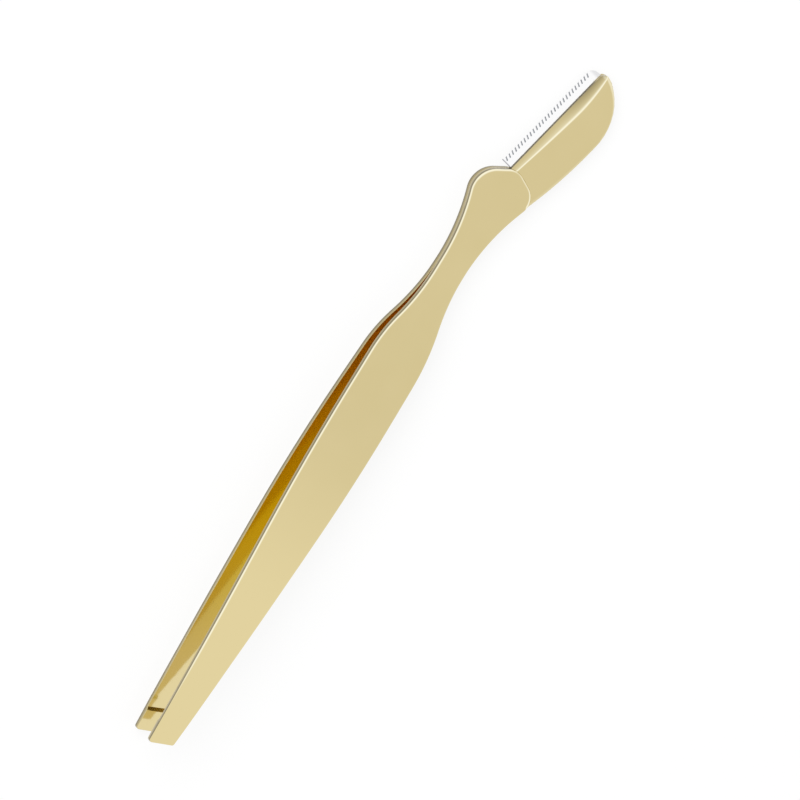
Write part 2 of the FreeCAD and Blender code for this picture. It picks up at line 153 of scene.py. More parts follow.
def linear(code):
    """sRGB hex to linear colour."""
    channels = [int(code[i:i + 2], 16) / 255 for i in (1, 3, 5)]
    return [c / 12.92 if c <= 0.04045 else ((c + 0.055) / 1.055) ** 2.4 for c in channels] + [1.0]


def add_node(tree, kind, settings=None, links=None):
    """Add one node, set its properties and inputs, and link sockets into it."""
    node = tree.nodes.new(kind)
    for name, value in (settings or {}).items():
        if isinstance(name, str) and hasattr(node, name):
            setattr(node, name, value)
        else:
            node.inputs[name].default_value = value
    for name, socket in (links or {}).items():
        tree.links.new(socket, node.inputs[name])
    return node


def new_material(name):
    material = bpy.data.materials.new(name)
    material.use_nodes = True
    material.node_tree.nodes.clear()
    return material, material.node_tree


def finish_material(tree, shader):
    add_node(tree, "ShaderNodeOutputMaterial", links={"Surface": shader.outputs[0]})


def object_pattern(tree, kind, sizes_mm, settings):
    """A texture on Object coordinates whose features have these sizes along X, Y and Z, in millimetres."""
    place = add_node(tree, "ShaderNodeTexCoord")
    mapping = add_node(tree, "ShaderNodeMapping", {"Scale": [1000 / s for s in sizes_mm]}, {
        "Vector": place.outputs["Object"]})
    return add_node(tree, kind, {"Scale": 1.0, **settings}, {"Vector": mapping.outputs[0]})


def gold_plating():
    """Champagne gold flash over polished stainless steel: a clear warm mirror with faint buffing lines.
    A deeper gold is painted on the inner faces as the light bouncing in the gap, the outer faces are painted paler
    towards the tips as light, cream painted highlights run along the rounded rims and the bevel's crest, and
    painted olive shade darkens the walls, which are also duller."""
    material, tree = new_material("champagne_gold_plated_steel")
    cloud = object_pattern(tree, "ShaderNodeTexNoise", (9, 9, 9), {"Detail": 2.0})
    # Buffing lines are a few micrometres wide on the real plate.
    # They are drawn 0.12 mm wide so that they show.
    lines = object_pattern(tree, "ShaderNodeTexNoise", (14, 0.12, 0.12), {"Detail": 3.0, "Roughness": 0.6})
    painted_tip_light = add_node(tree, "ShaderNodeAttribute", {"attribute_name": "painted_tip_light"})
    bounce_gold = add_node(tree, "ShaderNodeAttribute", {"attribute_name": "painted_bounce_gold"})
    painted_highlight = add_node(tree, "ShaderNodeAttribute", {"attribute_name": "painted_rim_highlight"})
    shade_and_dullness = add_node(tree, "ShaderNodeAttribute", {"attribute_name": "painted_shade_and_dullness"})
    tone = add_node(tree, "ShaderNodeMix", {
        "data_type": "RGBA", 6: linear("#D2C28F"), 7: linear("#D8C898")}, {0: cloud.outputs[0]})
    # Painted light: paler towards the tips.
    tip_lightened = add_node(tree, "ShaderNodeMix", {"data_type": "RGBA", 7: linear("#E2D29F")}, {
        0: painted_tip_light.outputs["Fac"], 6: tone.outputs[2]})
    # Painted bounce light: a deeper gold on the inner faces and the jaw ramp.
    face = add_node(tree, "ShaderNodeMix", {"data_type": "RGBA", 7: linear("#E7D365")}, {
        0: bounce_gold.outputs["Fac"], 6: tip_lightened.outputs[2]})
    # Painted highlight: cream along the rounded rims and the bevel's crest.
    rim = add_node(tree, "ShaderNodeMix", {"data_type": "RGBA", 7: linear("#FEF8DC")}, {
        0: painted_highlight.outputs["Fac"], 6: face.outputs[2]})
    # Painted shade: dark olive on the walls, the jaw ramp and the lower bevel; it also makes them rougher below.
    wall = add_node(tree, "ShaderNodeMix", {"data_type": "RGBA", 7: linear("#6B6145")}, {
        0: shade_and_dullness.outputs["Fac"], 6: rim.outputs[2]})
    polish = add_node(tree, "ShaderNodeMapRange", {1: 0.3, 2: 0.7, 3: 0.06, 4: 0.11}, {0: lines.outputs[0]})
    dull = add_node(tree, "ShaderNodeMath", {"operation": "MULTIPLY_ADD", 1: 0.2}, {
        0: shade_and_dullness.outputs["Fac"], 2: polish.outputs[0]})
    relief = add_node(tree, "ShaderNodeBump", {"Strength": 0.03, "Distance": 0.00002}, {
        "Height": lines.outputs[0]})
    shader = add_node(tree, "ShaderNodeBsdfPrincipled", {"Metallic": 1.0}, {
        "Base Color": wall.outputs[2], "Roughness": dull.outputs[0], "Normal": relief.outputs[0]})
    finish_material(tree, shader)
    return material


def ground_steel():
    """Hardened stainless strip, ground: cool grey metal with close grinding lines square to the edge."""
    material, tree = new_material("ground_stainless_steel")
    lines = object_pattern(tree, "ShaderNodeTexNoise", (0.1, 4, 4), {"Detail": 3.0})
    tone = add_node(tree, "ShaderNodeMix", {
        "data_type": "RGBA", 6: linear("#8E9196"), 7: linear("#B7BABF")}, {0: lines.outputs[0]})
    polish = add_node(tree, "ShaderNodeMapRange", {1: 0.3, 2: 0.7, 3: 0.22, 4: 0.36}, {0: lines.outputs[0]})
    relief = add_node(tree, "ShaderNodeBump", {"Strength": 0.1, "Distance": 0.00002}, {
        "Height": lines.outputs[0]})
    shader = add_node(tree, "ShaderNodeBsdfPrincipled", {"Metallic": 1.0}, {
        "Base Color": tone.outputs[2], "Roughness": polish.outputs[0], "Normal": relief.outputs[0]})
    finish_material(tree, shader)
    return material


def etched_foil():
    """Etched stainless foil: a pale satin metal, nearly white in soft light, with a fine frosted grain, and grey
    painted shade at its ends."""
    material, tree = new_material("etched_stainless_foil")
    # The etched grain is about 0.02 mm. It is drawn at 0.15 mm so that it shows.
    grain = object_pattern(tree, "ShaderNodeTexNoise", (0.15, 0.15, 0.15), {"Detail": 2.0})
    cut = add_node(tree, "ShaderNodeAttribute", {"attribute_name": "painted_end_shade"})
    tone = add_node(tree, "ShaderNodeMix", {
        "data_type": "RGBA", 6: linear("#F9F9FA"), 7: linear("#FEFEFE")}, {0: grain.outputs[0]})
    # Painted shade: grey at the foil's ends.
    foil = add_node(tree, "ShaderNodeMix", {"data_type": "RGBA", 7: linear("#84838C")}, {
        0: cut.outputs["Fac"], 6: tone.outputs[2]})
    polish = add_node(tree, "ShaderNodeMapRange", {1: 0.3, 2: 0.7, 3: 0.14, 4: 0.22}, {0: grain.outputs[0]})
    relief = add_node(tree, "ShaderNodeBump", {"Strength": 0.04, "Distance": 0.00002}, {
        "Height": grain.outputs[0]})
    shader = add_node(tree, "ShaderNodeBsdfPrincipled", {"Metallic": 1.0}, {
        "Base Color": foil.outputs[2], "Roughness": polish.outputs[0], "Normal": relief.outputs[0]})
    finish_material(tree, shader)
    return material


gold = gold_plating()
blade_steel = ground_steel()
guard_foil = etched_foil()


def plain_mesh(worker, name):
    """The evaluated object as a new object with a plain mesh; the worker is removed."""
    evaluated = worker.evaluated_get(bpy.context.evaluated_depsgraph_get())
    mesh = bpy.data.meshes.new_from_object(evaluated)
    mesh.name = name
    piece = bpy.data.objects.new(name, mesh)
    bpy.context.scene.collection.objects.link(piece)
    bpy.data.objects.remove(worker)
    return piece


def mesh_object(name, points, faces, material, shades=None):
    """Mesh from points in the tool's own frame, with named values per point that the material reads."""
    mesh = bpy.data.meshes.new(f"{name}_draft")
    mesh.from_pydata(laid_down(points).tolist(), [], faces)
    mesh.materials.append(material)
    for label, values in (shades or {}).items():
        mesh.attributes.new(label, "FLOAT", "POINT").data.foreach_set("value", np.asarray(values, np.float32))
    mesh.shade_smooth()
    worker = bpy.data.objects.new(f"{name}_draft", mesh)
    bpy.context.scene.collection.objects.link(worker)
    return worker


def with_flat_faces(worker, name, sharp_angle=50):
    """Let the broad faces shade flat up to their rounded rims."""
    worker.data.set_sharp_from_angle(angle=math.radians(sharp_angle))
    normals = worker.modifiers.new("face_normals", "WEIGHTED_NORMAL")
    normals.weight = 100
    normals.keep_sharp = True
    return plain_mesh(worker, name)


def crossing(point_a, angle_a, point_b, angle_b):
    """Where two straight lines in plan meet."""
    ax, ay = math.cos(math.radians(angle_a)), math.sin(math.radians(angle_a))
    bx, by = math.cos(math.radians(angle_b)), math.sin(math.radians(angle_b))
    gap_x, gap_y = point_b[0] - point_a[0], point_b[1] - point_a[1]
    reach = (gap_x * by - gap_y * bx) / (ax * by - ay * bx)
    return point_a[0] + ax * reach, point_a[1] + ay * reach


def rounded_outline(corners):
    """Closed outline from (point, corner radius) pairs: for each corner, its points and outward normals."""
    runs = []
    for index, (corner, radius) in enumerate(corners):
        corner = np.array(corner)
        before = np.array(corners[index - 1][0]) - corner
        after = np.array(corners[(index + 1) % len(corners)][0]) - corner
        before /= np.linalg.norm(before)
        after /= np.linalg.norm(after)
        half = math.acos(before @ after) / 2
        inward = (before + after) / np.linalg.norm(before + after)
        centre = corner + inward * radius / math.sin(half)
        start = corner + before * radius / math.tan(half) - centre
        first = math.atan2(start[1], start[0])
        sweep = math.pi - 2 * half
        convex = before[0] * after[1] - before[1] * after[0] < 0
        angles = first + (1 if convex else -1) * np.linspace(0, sweep, max(7, 2 * math.ceil(sweep * 30) + 1))
        radial = np.stack([np.cos(angles), np.sin(angles)], 1)
        runs.append((centre + radius * radial, radial if convex else -radial))
    return runs


def arm_outline():
    """Plan of an arm: crown, bulge, neck, shoulder, belly and tip on the blade side, then back again."""
    blade_neck, back_neck = (7.4, -2.13), (7.4, 2.64)
    bulge_side, seam_side = (-3.28, -1.84), (-3.88, 2.34)
    bulge = crossing(blade_neck, 19.0, bulge_side, 118.0)
    crown = crossing(bulge_side, 118.0, seam_side, 63.0)
    seam = crossing(seam_side, 63.0, back_neck, -20.9)
    belly, belly_x = 4.73, 49.75
    taper = math.degrees(math.atan((belly - TIP_HALF) / (TIP_X - belly_x)))
    tip, tip_angle = (TIP_X, -TIP_HALF), 90 + TIP_ANGLE
    blade_side = [
        (blade_neck, 34.5),
        ((19.22, -2.13), 34.0),
        (crossing((19.22, -2.13), -15.9, (belly_x, -belly), -0.8), 26.0),
        ((belly_x, -belly), 363.0),
        (crossing((belly_x, -belly), taper, tip, tip_angle), 0.4),
    ]
    back_side = [
        (crossing((belly_x, belly), -taper, tip, tip_angle), 0.4),
        ((belly_x, belly), 363.0),
        (crossing((18.89, 2.64), 13.4, (0, belly), 0), 41.0),
        ((18.89, 2.64), 35.5),
        (back_neck, 34.5),
    ]
    return rounded_outline([(crown, 2.9), (bulge, 4.0)] + blade_side + back_side + [(seam, 2.9)])


def arm_sides():
    """The outline as two paths from the middle of the crown to the tip: the blade side and the back."""
    runs = arm_outline()
    half = len(runs[0][0]) // 2
    crown = runs[0]
    blade = [tuple(a[half:] for a in crown)] + runs[1:7]
    back = [tuple(a[:half + 1][::-1] for a in crown)] + [tuple(a[::-1] for a in run) for run in runs[:6:-1]]
    return [tuple(np.concatenate(parts) for parts in zip(*side)) for side in (blade, back)]


def along(path, at):
    """Points and normals at fractional places of a path."""
    points, normals = path
    steps = np.arange(len(points))
    point = np.stack([np.interp(at, steps, points[:, k]) for k in (0, 1)], 1)
    normal = np.stack([np.interp(at, steps, normals[:, k]) for k in (0, 1)], 1)
    return point, normal / np.linalg.norm(normal, axis=1, keepdims=True)


def arm_rows(path):
    """Where each cross row of the arm meets one side. Rows turn to lie along the slanted tip."""
    points = path[0]
    length = np.concatenate([[0], np.cumsum(np.linalg.norm(np.diff(points, axis=0), axis=1))])
    head_length = np.interp(HEAD_END_X, points[:, 0], length)
    head = np.interp(np.linspace(0, head_length, 64), length, np.arange(len(points)))
    first = np.argmax(points[:, 0] > HEAD_END_X) - 1
    stations = np.concatenate([
        np.arange(4.6, 10.5, 0.5),
        np.arange(10.6, 18.5, 0.25),
        np.arange(18.8, 90, 0.8),
        np.arange(90.2, 95.6, 0.4),
        np.linspace(JAW_RAMP[0] - 0.03, JAW_RAMP[0] + 0.03, 3),
        np.linspace(JAW_RAMP[1] - 0.06, JAW_RAMP[1] + 0.06, 5),
        np.arange(96.8, 99.3, 0.4),
        TIP_X - 0.5 * (1 - np.sin(np.linspace(0, math.pi / 2, 10))),
    ])
    rows = list(head)
    for station in stations:
        slant = TIP_SLANT * faded(station, SLANT_FADE)
        reach = points[first:, 0] + slant * (points[first:, 1] + TIP_HALF)
        rows.append(first + np.interp(station, reach, np.arange(len(reach))))
    return np.array(rows)


def bow(x):
    """Height of an arm's inner face over the mid-plane; the bend at the waist is softened."""
    heights = []
    for offset in np.linspace(-BOW_SOFTENING, BOW_SOFTENING, 41):
        share = np.clip((x + offset - WAIST_X) / (TIP_X - WAIST_X), 0, 1)
        heights.append(BOW_RISE * (2 * share - share * share))
    return np.maximum(np.mean(heights, axis=0), HEAD_GAP)


def inner_height(x, y):
    """Inner face with the raised jaw, whose step runs along the slanted tip."""
    station = x + TIP_SLANT * (y + TIP_HALF)
    jaw = JAW_HALF_GAP * (1 - (TIP_X + 0.56 - station) * math.cos(math.atan(TIP_SLANT)) / (TIP_X - WAIST_X))
    raised = np.clip((station - JAW_RAMP[0]) / (JAW_RAMP[1] - JAW_RAMP[0]), 0, 1)
    # The faces open a little towards the back before the jaws, which stay flat so that they meet.
    tilt = TILT_GAIN * np.clip(x - TILT_X, 0, None)
    return (bow(x) + tilt * y) * (1 - raised) + jaw * raised


def outer_height(x):
    """Outer face, ground thinner towards the tip."""
    share = np.clip((x - GRIND_X) / (TIP_X - GRIND_X), 0, None)
    return bow(x) + GAUGE - GRIND_DEPTH * share * share


def make_arm(name, side):
    """One arm from crown to tip as a single bowed strip with rounded rims."""
    paths = arm_sides()
    blade, back = [along(path, arm_rows(path)) for path in paths]
    rows = len(blade[0])
    plan = np.concatenate([blade[0], back[0][:0:-1]])
    outward = np.concatenate([blade[1], back[1][:0:-1]])
    # The outer rims get a painted highlight, strongest on the blade side and over the holder, and none where the
    # rim narrows at the tip.
    blade_facing = 0.1 + 0.9 * smooth(0.5 - 0.9 * outward[:, 1])
    over_holder = smooth((0.3 - plan[:, 0]) / 0.8) * (0.4 + 0.6 * smooth(outward[:, 1]))
    rim = OUTER_ROUND + (TIP_ROUND - OUTER_ROUND) * faded(plan[:, 0], RIM_FADE)
    rim = rim + HOLDER_EXTRA_ROUND * over_holder
    rim_highlight = np.maximum(blade_facing, over_holder) * np.clip((rim - TIP_ROUND) / 0.2, 0, 1)
    rings, bounce_gold, painted_highlight, shade_and_dullness = [], [], [], []
    # Inner rounding: a deeper gold is painted on the inner face and the jaw ramp as bounced light, and painted
    # shade on the rounding and the ramp.
    for angle in np.radians([0, 30, 60, 90]):
        xy = plan - outward * (INNER_ROUND * (1 - math.sin(angle)))
        z = inner_height(xy[:, 0], xy[:, 1]) + INNER_ROUND * (1 - math.cos(angle))
        rings.append(np.column_stack([xy, side * z]))
        station = xy[:, 0] + TIP_SLANT * (xy[:, 1] + TIP_HALF)
        ramp = (station > JAW_RAMP[0]) & (station < JAW_RAMP[1])
        bounce_gold.append((angle == 0) * np.maximum(1 - faded(xy[:, 0], BOUNCE_GOLD_FADE), ramp))
        painted_highlight.append(np.zeros(len(xy)))
        shade_and_dullness.append(np.maximum(0.35 * math.sin(angle), 0.3 * ramp))
    # Outer rounding: the painted highlight peaks halfway round the rim, and painted shade darkens the side below
    # it.
    for angle in np.radians(np.linspace(0, 90, 10)):
        xy = plan - outward * (rim * (1 - math.cos(angle)))[:, None]
        z = outer_height(xy[:, 0]) - rim * (1 - math.sin(angle))
        rings.append(np.column_stack([xy, side * z]))
        bounce_gold.append(np.zeros(len(xy)))
        painted_highlight.append(rim_highlight * math.sin(2 * angle) ** (1.5 - over_holder))
        shade_and_dullness.append(np.full(len(xy), max(0, 1 - math.sin(angle) * 2.5)))
    around = len(plan)
    faces = []
    for ring in range(len(rings) - 1):
        low, high = ring * around, (ring + 1) * around
        for here in range(around):
            there = (here + 1) % around
            faces.append((low + here, low + there, high + there, high + here))
    for base, order in ((0, -1), ((len(rings) - 1) * around, 1)):
        for row in range(rows - 1):
            near = [base + row] if row == 0 else [base + row, base + around - row]
            far = [base + row + 1, base + around - row - 1]
            face = (near[0], far[0], far[1]) if row == 0 else (near[0], far[0], far[1], near[1])
            faces.append(face[::order])
    faces = [face[::side] for face in faces]
    rings = np.concatenate(rings)
    # The outer faces are painted paler towards the tips, as light.
    shades = {"painted_bounce_gold": np.concatenate(bounce_gold), "painted_rim_highlight": np.concatenate(painted_highlight),
              "painted_shade_and_dullness": np.concatenate(shade_and_dullness), "painted_tip_light": faded(rings[:, 0], TIP_LIGHT_FADE)}
    arm = with_flat_faces(mesh_object(name, rings, faces, gold, shades), name)
    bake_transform(arm)
    plate = "front" if side == FRONT else "rear"
    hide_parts(f"{plate}_head_plate", f"{plate}_spring_leg")
    return arm


def by_length(points, shares):
    """A chain of points taken at shares of its length."""
    length = np.concatenate([[0], np.cumsum(np.linalg.norm(np.diff(points, axis=0), axis=1))])
    return np.stack([np.interp(shares * length[-1], length, points[:, k]) for k in (0, 1)], -1)


def cheek_sides():
    """The four sides of a cheek's plan in the razor frame: blade side, seam with the head, back and end."""
    runs = rounded_outline([
        ((1.7, -5.4), 0.01),
        ((9.7, -6.48), 75.0),
        ((22.0, -6.42), 9.6),
        ((25.2, CHEEK_EDGE_V), 1.1),
        ((2.6, CHEEK_EDGE_V), 0.01),
    ])
    nose = runs[3][0]
    middle = len(nose) // 2
    blade_path, back_path = [side[0] for side in arm_sides()]
    head = np.concatenate([blade_path[40:0:-1], back_path])
    seam = np.column_stack(to_razor(head[:, 0], head[:, 1]))
    horn, bend = runs[0][0][-1], runs[1][0][0]
    horn_line = horn[1] + (seam[:, 0] - horn[0]) * (bend[1] - horn[1]) / (bend[0] - horn[0])
    blade_side = np.interp(-CHEEK_EDGE_V, -seam[:80, 1], np.arange(80))
    back_end = np.argmax(seam[:, 1] < horn_line + 0.08)
    steps = np.arange(len(seam))
    kept = np.linspace(blade_side, back_end, 200)
    seam = np.stack([np.interp(kept, steps, seam[:, k]) for k in (0, 1)], 1)
    blade = np.concatenate([[seam[0]], nose[middle:][::-1]])
    back = np.concatenate([[seam[-1]], runs[1][0], runs[2][0][:1]])
    end = np.concatenate([nose[:middle + 1][::-1], runs[2][0][::-1]])
    return blade, seam, back, end


def bevel_width(u):
    """Width of the bevel along the blade: widest before the nose, slowly narrower towards the head."""
    to_head = np.clip(BEVEL_WIDEST_U - u, 0, None) / BEVEL_RUN_TO_HEAD
    to_nose = np.clip(u - BEVEL_WIDEST_U, 0, None) / BEVEL_RUN_TO_NOSE
    width = BEVEL_WIDTH - BEVEL_LOSS_TO_HEAD * to_head ** 1.3 - BEVEL_LOSS_TO_NOSE * to_nose ** 2
    return np.maximum(width, BEVEL_LEAST_WIDTH)


def make_cheek(name, side):
    """Holder cheek: plate with a long softened bevel along the blade and a rounded back and nose."""
    blade, seam, back, end = cheek_sides()
    # The mesh is closer from these shares on, towards the nose and towards the back.
    nose_share, back_share = 0.94, 0.93
    lengths = np.concatenate([np.linspace(0, nose_share, 74), np.linspace(nose_share, 1, 15)[1:]])
    a, c = by_length(blade, lengths), by_length(back, lengths)
    s = lengths[:, None, None]

    def patch(widths):
        """Plan points between the four sides, for shares of the width in each row."""
        t = widths[..., None]
        corners = (1 - s) * (1 - t) * a[0] + s * (1 - t) * a[-1] + (1 - s) * t * c[0] + s * t * c[-1]
        between = (1 - s) * by_length(seam, widths) + s * by_length(end, widths)
        return (1 - t) * a[:, None] + t * c[:, None] + between - corners

    # One line of the mesh runs along the crest of the bevel.
    trial = np.tile(np.linspace(0, 1, 400), (len(lengths), 1))
    trial_plan = patch(trial)
    trial_climb = (CHEEK_EDGE_V - trial_plan[..., 1]) / bevel_width(trial_plan[..., 0])
    crest_at = np.array([[np.interp(1, row, trial[0])] for row in trial_climb])
    near = crest_at * np.concatenate([np.linspace(0, 0.8, 12), np.linspace(0.8, 1.2, 13)[1:]])
    far = near[:, -1:] + (back_share - near[:, -1:]) * np.linspace(0, 1, 10)[1:]
    last = np.tile(np.linspace(back_share, 1, 11)[1:], (len(lengths), 1))
    plan = patch(np.concatenate([near, far, last], 1))
    u, v = plan[..., 0], plan[..., 1]

    inset = bevel_width(u)
    slope = BEVEL_LAND + (CHEEK_EDGE_V - v) * (CHEEK_THICKNESS - BEVEL_LAND) / inset
    fall = slope - CHEEK_THICKNESS
    top = CHEEK_THICKNESS + (fall - np.sqrt(fall ** 2 + CREST_SOFTENING ** 2) + CREST_SOFTENING) / 2
    # A painted highlight runs along the bevel's crest.
    crest = np.exp(-(fall / np.where(fall > 0, CREST_SHINE_ON_FACE, CREST_SHINE_ON_BEVEL)) ** 2)
    rim_line = by_length(np.concatenate([back, end[::-1]]), np.linspace(0, 1, 900))
    nearness = np.linalg.norm(plan[:, :, None] - rim_line[None, None], axis=3)
    distance = nearness.min(2)
    to_nose = smooth((nearness.argmin(2) / len(rim_line) - 0.72) / 0.26)
    rim = CHEEK_ROUND + (NOSE_ROUND - CHEEK_ROUND) * to_nose
    drop = CHEEK_ROUND + (NOSE_DROP - CHEEK_ROUND) * to_nose
    share = np.clip(1 - distance / rim, 0, 1)
    top = np.minimum(top, CHEEK_THICKNESS - drop * (1 - np.sqrt(1 - share ** 2)))
    # Painted highlights on the rounded rim, stronger at the nose, and painted light rising up the bevel; painted
    # shade on the lower bevel, more of it towards the nose.
    on_bevel = smooth(-fall / 0.03)
    climb = np.clip((CHEEK_EDGE_V - v) / inset, 0, 1)
    to_end = smooth((u - 13) / 9)
    painted_highlight = np.maximum(crest, share * (1 - share) * (1 + 1.4 * to_nose))
    painted_highlight = np.maximum(painted_highlight, on_bevel * climb ** 2 * (0.45 - 0.25 * to_end))
    shade_and_dullness = on_bevel * (1 - climb) * (0.1 + 0.5 * to_end)

    x, y = from_razor(u, v)
    long_count, wide_count = u.shape
    number = np.arange(long_count * wide_count).reshape(long_count, wide_count)
    points = [np.column_stack([x.ravel(), y.ravel(), top.ravel()])]
    faces = []
    for i in range(long_count - 1):
        for j in range(wide_count - 1):
            faces.append((number[i, j], number[i, j + 1], number[i + 1, j + 1], number[i + 1, j]))
    loop = np.concatenate([number[:-1, 0], number[-1, :-1], number[:0:-1, -1], number[0, :0:-1]])
    edge = points[0][loop]
    ahead, behind = np.roll(edge, -1, 0), np.roll(edge, 1, 0)
    run = (ahead - behind)[:, :2]
    inward = np.column_stack([run[:, 1], -run[:, 0]]) / np.linalg.norm(run, axis=1, keepdims=True)
    shades = {"painted_rim_highlight": [painted_highlight.ravel()], "painted_shade_and_dullness": [shade_and_dullness.ravel()]}
    upper = loop
    flat = np.zeros(len(loop))
    # The cheek's sides are painted dark as shade, less so at the nose.
    for inset_by, height in ((0, edge[:, 2] - 0.04), (0, flat + SEAM_ROUND), (SEAM_ROUND, flat)):
        ring = u.size + (len(points) - 1) * len(loop) + np.arange(len(loop))
        points.append(np.column_stack([edge[:, :2] + inward * inset_by, height]))
        for here in range(len(loop)):
            there = (here + 1) % len(loop)
            faces.append((upper[here], upper[there], ring[there], ring[here]))
        shades["painted_rim_highlight"].append(flat)
        shades["painted_shade_and_dullness"].append(1 - 0.8 * smooth((u.ravel()[loop] - 22) / 1.5))
        upper = ring
    faces.append(tuple(upper))
    points = np.concatenate(points) * (1, 1, side)
    faces = [tuple(int(k) for k in face)[::side] for face in faces]
    shades = {label: np.concatenate(values) for label, values in shades.items()}
    cheek = with_flat_faces(mesh_object(name, points, faces, gold, shades), name)
    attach(cheek, "head")
    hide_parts("front_holder_cheek" if side == FRONT else "rear_holder_cheek")
    return cheek


def foil_path():
    """Places across the folded foil, from one side to the other, as distances from the crest of the fold
    along its middle surface, and the place where the slots end."""
    straight = FOLD_V - FOIL / 2 - FOLD_RADIUS - FOIL_ROOT_V
    quarter = FOLD_RADIUS * math.pi / 2
    slot_end = SLOT_LENGTH - FOIL / 2 - FOLD_RADIUS + quarter
    end_round = slot_end - SLOT_WIDTH / 2 * (1 - np.cos(np.linspace(0, math.pi / 2, 6)))
    half = np.concatenate([
        np.linspace(0, quarter, 7),
        np.linspace(quarter, slot_end - SLOT_WIDTH / 2, 4)[1:],
        end_round[:-1][::-1],
        [slot_end],
        np.linspace(slot_end, quarter + straight, 6)[1:],
    ])
    half = np.unique(np.round(half, 9))
    return np.concatenate([-half[:0:-1], half]), slot_end


def slot_half_width(path, slot_end):
    """Half width of a slot along the fold, narrower over the crest and round at its inner end."""
    radius = SLOT_WIDTH / 2
    past = np.clip((np.abs(path) - (slot_end - radius)) / radius, 0, 1)
    return radius * (0.8 + 0.2 * smooth(np.abs(path) / (slot_end - radius))) * np.sqrt(1 - past ** 2)


def foil_mesh(name, start_u, end_u, left_slot, right_slot, columns):
    """A length of folded foil with half a slot at either end, closed at its free edges only."""
    path, slot_end = foil_path()
    half = slot_half_width(path, slot_end)
    shares = np.linspace(0, 1, columns) ** (1 if left_slot else 2)
    bend = -SLOT_BEND * smooth(np.abs(path) / slot_end)
    left = start_u + (bend + half if left_slot else 0 * half)
    right = end_u + (bend - half if right_slot else 0 * half)
    u = left[:, None] * (1 - shares) + right[:, None] * shares
    turn = np.clip(path / FOLD_RADIUS, -math.pi / 2, math.pi / 2)
    beyond = np.abs(path - turn * FOLD_RADIUS)
    points = []
    for offset in (FOIL / 2, -FOIL / 2):
        v = FOLD_V - FOIL / 2 - FOLD_RADIUS + (FOLD_RADIUS + offset) * np.cos(turn) - beyond
        z = (FOLD_RADIUS + offset) * np.sin(turn)
        corner = np.clip((u - (FOIL_END_U - FOIL_CORNER)) / FOIL_CORNER, 0, 1)
        cut = FOIL_CORNER * (1 - np.sqrt(1 - corner ** 2))
        lowered = v[:, None] - cut * (v[:, None] - FOIL_ROOT_V) / (FOLD_V - FOIL_ROOT_V)
        x, y = from_razor(u, lowered)
        points.append(np.column_stack([x.ravel(), y.ravel(), np.repeat(z, columns)]))
    count = len(path)
    number = np.arange(count * columns).reshape(count, columns)
    inner = count * columns
    faces = []
    for i in range(count - 1):
        for j in range(columns - 1):
            quad = (number[i, j], number[i, j + 1], number[i + 1, j + 1], number[i + 1, j])
            faces.append(quad)
            faces.append(tuple(inner + k for k in quad[::-1]))
        open_here = abs(path[i] + path[i + 1]) / 2 < slot_end
        if not left_slot or open_here:
            p, q = number[i, 0], number[i + 1, 0]
            faces.append((p, q, inner + q, inner + p))
        if not right_slot or open_here:
            p, q = number[i, -1], number[i + 1, -1]
            faces.append((q, p, inner + p, inner + q))
    for j in range(columns - 1):
        p, q = number[0, j], number[0, j + 1]
        faces.append((q, p, inner + p, inner + q))
        p, q = number[-1, j], number[-1, j + 1]
        faces.append((p, q, inner + q, inner + p))
    faces = [tuple(int(k) for k in face[::-1]) for face in faces]
    # Painted shade: a dark grey strip at the foil's start and a light grey patch at its nose end.
    to_start = smooth(1 - (u - FOIL_START_U) / 0.2)
    to_end = 0.25 * smooth((u - FOIL_END_U + 1.0) / 0.6)
    cut = np.tile(np.maximum(to_start, to_end).ravel(), 2)
    return mesh_object(name, np.concatenate(points), faces, guard_foil, {"painted_end_shade": cut})


def guard_tree():
    """Repeats one tooth of the guard along the blade, adds the plain heel and nose, and welds them."""
    tree = bpy.data.node_groups.new("slotted_guard", "GeometryNodeTree")
    tree.is_modifier = True
    for label, kind in (
        ("Tooth", "NodeSocketObject"),
        ("Heel", "NodeSocketObject"),
        ("Nose", "NodeSocketObject"),
        ("Tooth count", "NodeSocketInt"),
        ("Pitch", "NodeSocketVector"),
        ("Weld distance", "NodeSocketFloat"),
        ("Foil", "NodeSocketMaterial"),
    ):
        tree.interface.new_socket(label, in_out="INPUT", socket_type=kind)
    tree.interface.new_socket("Guard", in_out="OUTPUT", socket_type="NodeSocketGeometry")
    inputs = add_node(tree, "NodeGroupInput").outputs
    tooth, heel, nose = [add_node(tree, "GeometryNodeObjectInfo", links={"Object": inputs[label]})
                         for label in ("Tooth", "Heel", "Nose")]
    edge = add_node(tree, "GeometryNodeMeshLine", links={
        "Count": inputs["Tooth count"], "Offset": inputs["Pitch"]})
    teeth = add_node(tree, "GeometryNodeInstanceOnPoints", links={
        "Points": edge.outputs[0], "Instance": tooth.outputs["Geometry"]})
    joined = add_node(tree, "GeometryNodeJoinGeometry")
    for part in (teeth.outputs[0], heel.outputs["Geometry"], nose.outputs["Geometry"]):
        tree.links.new(part, joined.inputs[0])
    real = add_node(tree, "GeometryNodeRealizeInstances", links={0: joined.outputs[0]})
    welded = add_node(tree, "GeometryNodeMergeByDistance", links={
        "Geometry": real.outputs[0], "Distance": inputs["Weld distance"]})
    finished = add_node(tree, "GeometryNodeSetMaterial", links={
        "Geometry": welded.outputs[0], "Material": inputs["Foil"]})
    add_node(tree, "NodeGroupOutput", links={0: finished.outputs[0]})
    return tree


